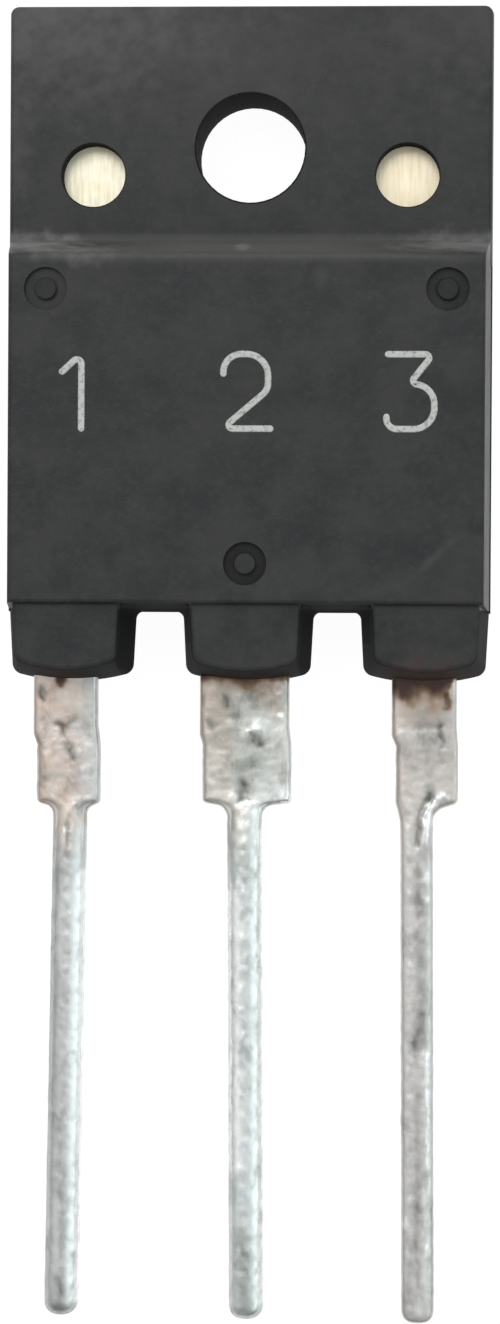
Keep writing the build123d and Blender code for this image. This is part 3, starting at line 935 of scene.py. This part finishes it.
@dataclass(frozen=True)
class Studio:
    """A pale floor, soft light from above, from +X and from +Y, and a long lens looking down."""

    camera_place: tuple[float, float, float] = (4.770, -15.857, 107.925)
    camera_turn: tuple[float, float, float] = (-0.5877, 2.5618, 0.3289)   # degrees about X, Y, Z
    lens: float = 86.49
    target: tuple[float, float, float] = (0.0, -17.0, 3.0)
    lamps: tuple[Lamp, ...] = (
        Lamp("upper_left", (-50.0, 130.0, 330.0), 150.0, 0.26),
    )
    surround: float = 0.2
    patches: tuple[SkyPatch, ...] = (
        SkyPatch((0.0, 0.0, 1.0), 0.48, 12.0, 80.0),
        SkyPatch((-0.8, 0.1, 0.6), 0.3, 10.0, 55.0),
        SkyPatch((0.68, -0.1, 0.73), 0.85, 8.0, 38.0, "#ebfeff"),
        SkyPatch((0.96, 0.1, 0.2), 0.5, 10.0, 45.0),
        SkyPatch((-0.25, 0.93, 0.25), 1.0, 10.0, 45.0),
    )
    floor_size: float = 4000.0
    floor_z: float = -0.02
    paper: str = "#bcbcbc"
    glow: float = 1.2                # the floor's plain white light where it is seen
    glow_share: float = 0.8

    def build(self) -> None:
        """Sets up the camera, the lights, the world and the floor."""
        scene = bpy.context.scene
        scene.view_settings.view_transform = "Standard"
        data = bpy.data.cameras.new("long_lens")
        data.lens = self.lens
        data.sensor_width = 36.0
        data.clip_start = 0.001
        camera = bpy.data.objects.new("camera", data)
        camera.location = [c * MM for c in self.camera_place]
        camera.rotation_mode = "ZXY"
        camera.rotation_euler = [math.radians(a) for a in self.camera_turn]
        scene.collection.objects.link(camera)
        scene.camera = camera
        for lamp in self.lamps:
            lamp.build(self.target)
        self.world()
        self.floor()

    def world(self) -> None:
        """A plain grey surround with soft bright patches.

        A patch adds its level where the angle to its heading is small, and fades by a smooth
        step in the cosine of that angle.
        """
        world = bpy.data.worlds.new("surround")
        bpy.context.scene.world = world
        world.use_nodes = True
        world.node_tree.nodes.clear()
        r = Recipe.over(world.node_tree)
        heading = r.add("TexCoord").node.outputs["Generated"]
        light = r.add("VectorMath", ([self.surround] * 3, (0.0, 0.0, 0.0)), operation="ADD")
        for patch in self.patches:
            unit = np.array(patch.heading) / np.linalg.norm(patch.heading)
            near = r.add("VectorMath", (heading, unit.tolist()), operation="DOT_PRODUCT")
            ends = (math.cos(math.radians(a)) for a in (patch.gone_beyond, patch.full_within))
            glow = r.add("MapRange", (near, *ends, 0.0, patch.level), interpolation_type="SMOOTHSTEP")
            tinted = r.add("VectorMath", {0: linear(patch.colour)[:3], "Scale": glow}, operation="SCALE")
            light = r.add("VectorMath", (light, tinted), operation="ADD")
        r.add("OutputWorld", {"Surface": r.add("Background", {"Color": light})})

    def floor(self) -> bpy.types.Object:
        """A white floor under the back face that keeps a faint shadow.

        To the camera, to gloss and through glass it is mostly plain white light, and to the
        rest it is a white diffuse surface.
        """
        r = Recipe("white_paper")
        ray = r.add("LightPath").node.outputs
        seen = ray["Is Camera Ray"]
        for kind in ("Is Glossy Ray", "Is Transmission Ray"):
            seen = r.add("Math", (seen, ray[kind]), operation="MAXIMUM")
        share = r.add("Math", (seen, self.glow_share), operation="MULTIPLY")
        paper = r.add("BsdfDiffuse", {"Color": linear(self.paper)})
        white = r.add("Emission", {"Color": linear("#ffffff"), "Strength": self.glow})
        mix = r.add("MixShader", (share, paper, white))
        half = self.floor_size / 2
        corners = np.array([(-half, -half), (half, -half), (half, half), (-half, half)])
        corners = np.column_stack([corners, np.full(len(corners), self.floor_z)])
        floor = mesh_object("floor", corners, [[0, 1, 2, 3]], r.finish(mix))
        return floor


# --- The part ------------------------------------------------------------------------------
# Other tones on the moulding, painted light and painted shade among them, each laid over the ones before it.
BODY_TONES_AND_PAINTED_LIGHT = (
    # Painted light: the tab paler all over and most towards its upper corners and its -X side, and a paler
    # band along the step, brightest towards its ends, with a small pale spot in its middle.
    Zone(Shape.CLOUD, (-1.0, 3.0, 3.0), (11.0, 5.5, 2.0), "#3b3b39", 0.75, 0.5),
    Zone(Shape.CLOUD, (-7.0, 5.0, 3.0), (9.0, 4.6, 2.0), "#565655", 0.8, 0.5),
    Zone(Shape.CLOUD, (8.0, 4.8, 3.0), (6.0, 4.4, 2.0), "#434341", 0.7, 0.5),
    Zone(Shape.CLOUD, (-8.3, 0.4, 3.0), (1.3, 4.2, 2.0), "#4c4c49", 0.7, 0.4),
    Zone(Shape.BOX, (0.0, -3.42, 4.4), (9.0, 0.73, 3.0), "#5f5f5c", 0.84, 0.62, 0.8),
    Zone(Shape.CLOUD, (-7.3, -3.3, 4.0), (2.5, 0.85, 2.2), "#969694", 0.72, 0.35),
    Zone(Shape.CLOUD, (-5.5, -3.65, 4.8), (2.4, 0.7, 1.8), "#8a8a88", 0.42, 0.35),
    Zone(Shape.CLOUD, (7.2, -3.3, 4.0), (3.4, 0.8, 2.2), "#8e8e8c", 0.66, 0.35),
    Zone(Shape.CLOUD, (-0.2, -3.5, 4.0), (0.35, 0.45, 1.4), "#9b9b99", 0.6, 0.3),
    # Paler patches on the front.
    Zone(Shape.CLOUD, (2.4, -4.5, 5.6), (0.35, 0.8, 1.0), "#3e3e3d", 0.6, 0.4),
    Zone(Shape.CLOUD, (6.0, -13.6, 5.6), (1.6, 0.25, 1.0), "#424241", 0.6, 0.4, turn=42.0),
    Zone(Shape.CLOUD, (4.2, -14.6, 5.6), (1.8, 0.35, 1.0), "#3a3a39", 0.5, 0.4, turn=20.0),
    # Painted shade: the holes' walls and the ejector marks' grooves are painted blacker than the front, with
    # little or no gloss.
    Zone(Shape.BORE, (0.0, 0.0, 0.0), (1.87, 1.87, 9.0), "#090909", 0.9, roughness=1.0),
    *(Zone(Shape.BORE, (x, -0.89, 5.2), (1.1, 1.1, 3.2), "#171512", 0.9, roughness=1.0)
      for x in (-5.18, 5.18)),
    Zone(Shape.BORE, (-6.48, -4.9, 3.0), (0.42, 0.42, 3.0), "#040404", 0.32, 0.06, 0.8),
    Zone(Shape.BORE, (6.48, -4.9, 3.0), (0.76, 0.76, 2.57), "#040404", 0.25, 0.03, 1.0),
    Zone(Shape.BORE, (6.48, -4.9, 3.0), (0.42, 0.42, 3.0), "#040404", 0.4, 0.06, 0.8),
    Zone(Shape.BORE, (0.0, -13.74, 3.0), (0.76, 0.76, 2.57), "#040404", 0.46, 0.03, 1.0),
    Zone(Shape.BORE, (0.0, -13.74, 3.0), (0.42, 0.42, 3.0), "#040404", 0.14, 0.06, 0.8),
    # Painted shade: the slots' ends and the legs' ends, and the two flanks that face +X, painted nearly black
    # with no gloss.
    Zone(Shape.BOX, (0.0, -16.6, 2.79), (9.0, 1.42, 2.49), "#0c0c0c", 0.8, 0.05, 1.0),
    *(Zone(Shape.BOX, (x, -15.5, 2.96), (1.14, 0.8, 2.6), "#030303", 0.78, 0.03, 1.0)
      for x in (-2.94, 2.94)),
    Zone(Shape.BOX, (-3.9, -16.55, 2.87), (0.36, 1.36, 2.47), "#030303", 1.0, 0.08, 1.0),
    Zone(Shape.BOX, (2.02, -16.55, 2.87), (0.38, 1.36, 2.47), "#030303", 1.0, 0.14, 1.0),
    # Brown flux that crept up the legs.
    Zone(Shape.CLOUD, (5.9, -17.8, 3.0), (2.1, 1.8, 4.6), "#4b2e22", 0.9, 0.3),
    Zone(Shape.CLOUD, (-0.2, -17.9, 3.0), (2.2, 1.0, 3.8), "#4b3026", 0.85, 0.3),
    Zone(Shape.CLOUD, (-6.15, -17.8, 3.0), (1.0, 1.3, 3.8), "#3a1a0e", 0.95, 0.3),
    Zone(Shape.CLOUD, (-6.6, -17.7, 3.0), (2.0, 0.9, 3.2), "#40392d", 0.6, 0.3),
)

# What the dip, the iron and the flux left on each lead, as seen from the front, with painted shade in
# creases, along edges and at the tips, and near-white painted highlights along the pins' bright flanks and on
# wetted spots.
BASE_MARKS = (
    Mark((-5.9, -18.8, -5.9, -21.1), 1.4, 0.23),
    Mark((-6.7, -18.2, -6.6, -18.6), 0.4, 0.12, varnish=0.2),
    Mark((-5.2, -17.9, -5.2, -19.5), 0.35, 0.12),
    Mark((-6.17, -17.35, -6.17, -17.45), 0.2, rosin=0.9),
    Mark((-6.17, -17.5, -6.17, -17.72), 0.13, rosin=0.5),
    Mark((-6.83, -17.95, -6.82, -18.1), 0.15, 0.7, relief=-0.02),
    Mark((-5.7, -18.8, -5.95, -19.05, -6.1, -19.12), 0.13, 0.4, relief=-0.015),
    Mark((-6.3, -19.02, -6.1, -19.1, -6.08, -19.4), 0.11, 0.6, relief=-0.03),
    Mark((-5.96, -19.72, -5.88, -19.95, -5.78, -20.15), 0.13, 0.45, relief=-0.02),
    Mark((-5.52, -19.95), 0.16, relief=0.01, bright=0.5),
    Mark((-6.1, -19.62), 0.08, relief=0.015, bright=0.6),
    Mark((-6.78, -19.7, -6.74, -21.1), 0.1, 0.3),
    Mark((-6.08, -21.42), 0.17, rosin=0.06),
    Mark((-6.45, -18.75), 0.25, bright=0.25),
    Mark((-5.92, -22.1, -5.95, -23.4), 0.09, 0.28, relief=-0.012),
    Mark((-5.9, -22.4, -5.93, -24.2), 0.26, 0.26),
    Mark((-5.97, -25.0, -6.06, -37.0), 0.12, 0.2),
    Mark((-5.55, -24.3, -5.6, -29.0, -5.75, -37.8), 0.15, bright=0.3),
    Mark((-5.43, -24.0, -5.5, -31.0, -5.58, -38.0), 0.14, bright=1.0),
    Mark((-5.98, -33.8, -6.02, -36.6), 0.2, 0.14),
    Mark((-6.22, -27.0, -6.3, -34.5), 0.16, 0.16),
    Mark((-6.1, -37.4, -6.12, -38.4), 0.24, 0.55))
COLLECTOR_MARKS = (
    Mark((0.0, -17.6, 0.0, -18.8), 1.3, 0.32),
    Mark((-1.0, -19.2, -0.9, -20.4, 0.3, -21.0), 0.9, 0.18),
    Mark((-1.1, -17.7, -1.1, -19.2), 0.5, 0.2, varnish=0.3),
    Mark((0.25, -17.8, 0.95, -17.78), 0.16, varnish=0.9),
    Mark((0.5, -18.1, 0.95, -18.4), 0.34, 0.26, varnish=0.5),
    Mark((-0.1, -17.62, 0.12, -17.65), 0.24, 0.2, rosin=0.5),
    Mark((-0.9, -17.75, -0.5, -17.75), 0.16, rosin=0.2),
    Mark((-0.72, -18.1, -0.68, -18.35), 0.14, 0.55, relief=-0.02),
    Mark((-0.45, -18.7, -0.35, -18.75), 0.16, 0.4, relief=-0.015),
    Mark((-1.28, -18.9, -1.2, -19.1), 0.13, 0.35, relief=-0.01),
    Mark((1.13, -18.75), 0.11, relief=0.03, bright=1.0),
    Mark((-0.12, -19.38, 0.05, -19.28, 0.28, -19.05, 0.45, -19.25), 0.12, relief=0.03, bright=1.0),
    Mark((0.22, -19.48, 0.45, -19.62), 0.16, 0.42, relief=-0.03),
    Mark((-0.5, -19.2), 0.2, 0.2),
    Mark((-0.15, -20.4, 0.2, -20.3), 0.3, 0.4, relief=-0.015),
    Mark((-0.15, -20.95, -0.13, -21.2, -0.2, -21.5), 0.16, 0.6, relief=-0.035),
    Mark((0.2, -19.7, 1.0, -20.4), 0.3, 0.14),
    Mark((-0.52, -21.3, -0.5, -21.45), 0.1, relief=0.02, bright=0.7),
    Mark((0.3, -21.7, 0.9, -21.45, 1.15, -21.4), 0.34, bright=0.8),
    Mark((0.3, -21.9, 0.22, -23.0, 0.3, -30.0, 0.36, -36.5), 0.17, bright=0.25),
    Mark((0.42, -22.6, 0.48, -32.0, 0.52, -38.0), 0.14, bright=1.0),
    Mark((-0.45, -21.9, -0.44, -22.4), 0.1, 0.3),
    Mark((0.0, -22.6, 0.05, -24.0), 0.3, 0.2),
    Mark((-0.5, -24.5, -0.42, -28.0, -0.36, -33.6), 0.3, bright=1.0),
    Mark((0.02, -26.0, 0.05, -30.5), 0.16, 0.1),
    Mark((-0.42, -35.0, -0.38, -38.0), 0.2, bright=0.35),
    Mark((-0.1, -35.8, -0.02, -38.3), 0.22, 0.42),
    Mark((0.25, -37.4, 0.22, -38.3), 0.2, 0.14))
EMITTER_MARKS = (
    Mark((5.9, -18.2, 5.9, -18.7), 0.9, 0.46),
    Mark((5.2, -18.1, 6.3, -18.2), 0.26, rosin=0.12),
    Mark((6.83, -17.6, 6.87, -18.3), 0.16, rosin=-0.9),
    Mark((6.58, -18.0, 6.6, -18.4), 0.11, 0.6, rosin=0.55),
    Mark((5.1, -17.8, 5.15, -18.0), 0.2, rosin=0.3),
    Mark((6.13, -17.8), 0.2, rosin=0.4),
    Mark((5.84, -18.0, 5.84, -18.25), 0.15, rosin=-0.26),
    Mark((5.36, -18.05, 5.4, -18.35), 0.2, rosin=0.26),
    Mark((5.86, -18.15, 6.1, -18.35), 0.22, varnish=0.8, rosin=0.2),
    Mark((5.1, -18.5, 5.5, -18.8, 6.3, -18.6), 0.3, 0.08, varnish=0.3),
    Mark((5.65, -19.0, 6.3, -19.02), 0.14, 0.24),
    Mark((5.05, -19.22, 6.2, -19.2), 0.05, relief=0.004, bright=0.2),
    Mark((6.38, -19.0, 6.42, -19.4), 0.1, 0.45, relief=-0.03),
    Mark((6.38, -19.4, 6.4, -20.2), 0.07, 0.2, relief=-0.012),
    Mark((5.4, -20.2, 6.5, -20.2), 0.65, 0.2),
    Mark((5.2, -21.1, 5.2, -21.4), 0.4, 0.1),
    Mark((6.65, -18.4, 6.7, -21.2), 0.3, 0.08),
    Mark((6.0, -19.6, 6.0, -21.0), 0.24, 0.12),
    Mark((5.5, -20.4), 0.14, 0.28),
    Mark((6.08, -21.24, 5.98, -21.4), 0.11, 0.35, relief=-0.02),
    Mark((6.0, -21.35, 5.8, -21.65, 5.68, -22.0, 5.6, -22.9), 0.13, 0.6, relief=-0.05),
    Mark((6.5, -21.3, 6.25, -21.45, 6.03, -21.7, 5.93, -22.1, 5.9, -22.8), 0.1, relief=0.03, bright=0.9),
    Mark((5.66, -23.6, 5.7, -26.2, 5.72, -29.5), 0.14, 0.3),
    Mark((5.72, -29.0), 0.36, 0.14),
    Mark((5.68, -34.9), 0.22, 0.35),
    Mark((5.95, -30.0, 6.0, -33.5), 0.08, relief=0.01, bright=0.5),
    Mark((5.9, -24.8, 5.95, -29.6), 0.2, 0.13),
    Mark((5.66, -22.4, 5.7, -24.4), 0.3, 0.16),
    Mark((5.72, -31.0, 5.75, -38.4), 0.22, 0.1),
    Mark((5.93, -34.0, 5.97, -37.4), 0.1, bright=0.35),
    Mark((5.86, -26.0, 5.9, -29.4), 0.12, 0.12),
    Mark((5.68, -31.0, 5.68, -36.1), 0.11, 0.24),
    Mark((5.92, -23.9, 5.92, -24.05), 0.1, bright=0.7),
    Mark((5.92, -24.7), 0.1, bright=1.0),
    Mark((5.41, -26.85), 0.09, bright=0.7),
    Mark((5.55, -25.85), 0.13, 0.25),
    Mark((5.78, -28.5), 0.16, 0.3),
    Mark((5.6, -29.2, 5.6, -29.9), 0.1, 0.35),
    Mark((5.92, -29.8, 5.93, -30.1), 0.1, bright=1.0),
    Mark((5.35, -35.2, 5.34, -35.5), 0.08, bright=0.6),
    Mark((5.99, -36.2), 0.1, bright=0.8),
    Mark((5.45, -36.6, 5.48, -38.0), 0.1, 0.2),
    Mark((5.72, -36.6, 5.74, -37.5), 0.06, 0.25),
    Mark((5.8, -37.9, 5.78, -38.4), 0.1, bright=0.3),
    Mark((6.16, -34.5, 6.2, -38.3), 0.08, 0.2))


@dataclass(frozen=True)
class PowerTransistor:
    """The whole part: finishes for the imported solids, the leads' coats and the pin numbers."""

    moulding: MouldedEpoxy = MouldedEpoxy(zones=BODY_TONES_AND_PAINTED_LIGHT)
    copper: PlatedCopper = PlatedCopper()
    silicon: PlainMetal = PlainMetal("aluminised_silicon", "#a9adb2", "#8d9299", 0.3, 0.4)
    die_solder: PlainMetal = PlainMetal("high_lead_solder", "#9a9995", "#83827f", 0.5, 0.2)
    wire: PlainMetal = PlainMetal("drawn_aluminium", "#dcdcdc", "#cacaca", 0.3, 0.1)
    numbers: PinNumbers = PinNumbers()
    coats: tuple[SolderCoat, ...] = (
        SolderCoat(
            "base_lead_solder", TinLeadSolder("tin_lead_solder_base", "#d1d7d7", mottle=0.32), seed=11,
            centre=-5.93, half_shoulder=0.99, root=-5.87, tip=-6.09, tip_y=-38.64, dip_y=-19.56,
            side_coats=(0.05, 0.05), shoulder_coats=(0.05, 0.06), ledge_coat=0.08,
            ledge_drops=(0.16, 0.2), corner_radii=(0.2, 0.16), root_radii=(0.3, 0.3),
            pin_rise=0.19, pin_fullness=2.2, varnish_x=(-5.75, -5.3), varnish=0.9,
            rosin_y=-17.2, rosin_fade=0.15, rosin_rag=0.05, marks=BASE_MARKS),
        SolderCoat(
            "collector_lead_solder",
            TinLeadSolder("tin_lead_solder_collector", "#d1d8d6", tarnish_and_painted_shade="#62675f", mottle=0.36), seed=23,
            centre=0.0, half_shoulder=1.4, root=-0.09, tip=0.06, tip_y=-38.69, dip_y=-19.0,
            side_coats=(0.06, 0.05), shoulder_coats=(0.08, 0.05), ledge_coat=0.05,
            ledge_drops=(0.14, 0.14), corner_radii=(0.18, 0.14), root_radii=(0.4, 0.4),
            pin_rise=0.19, pin_fullness=2.25, tip_fullness=2.4, lumps=0.016,
            varnish_x=(-0.6, 0.1), varnish=0.6,
            rosin_y=-17.5, rosin_fade=0.24, rosin_rag=0.03, marks=COLLECTOR_MARKS),
        SolderCoat(
            "emitter_lead_solder",
            TinLeadSolder("tin_lead_solder_emitter", "#cbcac8", tarnish_and_painted_shade="#62635f", mottle=0.3), seed=37,
            centre=5.93, half_shoulder=0.99, root=5.6, tip=5.73, tip_y=-38.74, dip_y=-19.2,
            side_coats=(0.02, 0.02), shoulder_coats=(0.03, 0.03), ledge_coat=0.02,
            ledge_drops=(0.6, 0.26), corner_radii=(0.5, 0.2), root_radii=(0.5, 0.5),
            shoulder_rise=0.045, pin_rise=0.08, pin_fullness=4.0, tip_fullness=2.7, dip_fade=0.2,
            varnish_x=(5.0, 5.9), varnish=0.45,
            rosin_y=-17.84, rosin_fade=0.46, rosin_rag=0.08, marks=EMITTER_MARKS))

    def dress(self, nodes: dict[str, bpy.types.Object]) -> None:
        """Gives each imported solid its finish.

        Args:
            nodes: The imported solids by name.
        """
        copper = self.copper.material()
        wire = self.wire.material()
        finishes = {
            "moulded_body": self.moulding.material(),
            "collector_header": copper, "base_lead": copper, "emitter_lead": copper,
            "transistor_die": self.silicon.material(), "die_solder": self.die_solder.material(),
            "base_bond_wire": wire, "emitter_bond_wire_inner": wire, "emitter_bond_wire_outer": wire,
        }
        for name, material in finishes.items():
            slots = nodes[name].data.materials
            slots.clear()
            slots.append(material)
            log.info("finish %s on %s", material.name, name)

    def build(self) -> None:
        """Adds the coats and the pin numbers and lets them ride with the part."""
        front_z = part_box("moulded_body")[1].z / MM
        for coat in self.coats:
            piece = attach(coat.build(), "root")
            log.info("piece %s: %d faces", piece.name, len(piece.data.polygons))
        for piece in self.numbers.build(front_z):
            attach(piece, "root")
            log.info("piece %s: %d faces", piece.name, len(piece.data.polygons))


def corners(bounds: tuple) -> list[list[float]]:
    """The lowest and highest corner as plain lists of numbers."""
    return [[float(c) for c in corner] for corner in bounds]


def main() -> None:
    """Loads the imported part, dresses it, adds its pieces and sets up the studio."""
    logging.basicConfig(level=logging.INFO, format="%(name)s: %(message)s")
    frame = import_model()
    part = PowerTransistor()
    part.dress(frame["nodes"])
    part.build()
    Studio().build()


if __name__ == "__main__":
    main()
